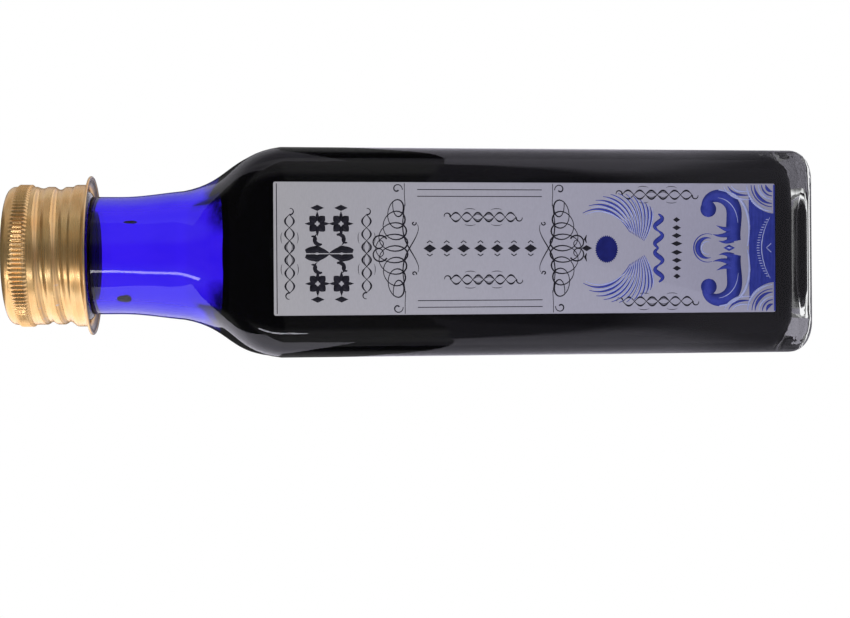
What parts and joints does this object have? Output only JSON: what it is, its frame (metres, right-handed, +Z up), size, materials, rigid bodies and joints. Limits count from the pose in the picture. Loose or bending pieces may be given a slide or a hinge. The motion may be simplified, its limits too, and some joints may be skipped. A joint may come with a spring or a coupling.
{
  "type": "ink bottle",
  "caption": "Square glass ink bottle with rounded shoulders, a long round neck and a knurled aluminium screw cap that unscrews and lifts off.",
  "frame": {"origin": "the middle of the base, on the surface that the bottle stands on", "axes": "+Z up through the neck and cap, -Y out of the labelled face, +X to the right of someone who faces the label"},
  "size_m": [0.038, 0.0382, 0.148],
  "materials": {
    "glass": "clear flint container glass, smooth and glossy, thick at the base; the neck is stained blue inside by a film of ink",
    "ink": "blue-black liquid, opaque in the body, saturated violet-blue where it is a thin film",
    "label": "silver-grey coated paper with a satin sheen, printed in black and blue",
    "liner": "white foamed polyethylene disc",
    "cap_gold": "bright aluminium under a clear gold lacquer"
  },
  "bodies": {
    "bottle": {"glass_bottle": "glass", "ink": "ink", "front_label": "label"},
    "liner": {"cap_liner": "liner"},
    "cap": {"cap_shell": "cap_gold"}
  },
  "joints": [
    {"name": "cap_rise", "type": "slide", "parent": "bottle", "child": "liner", "axis": [0, 0, 1], "range_m": [0, 0.016]},
    {"name": "cap_turn", "type": "hinge", "parent": "liner", "child": "cap", "pos_m": [0, 0, 0.14], "axis": [0, 0, 1], "range_deg": [0, 1800]}
  ],
  "couplings": [
    {"joint": "cap_rise", "follows": "cap_turn", "m_per_rad": 0.00050532}
  ]
}
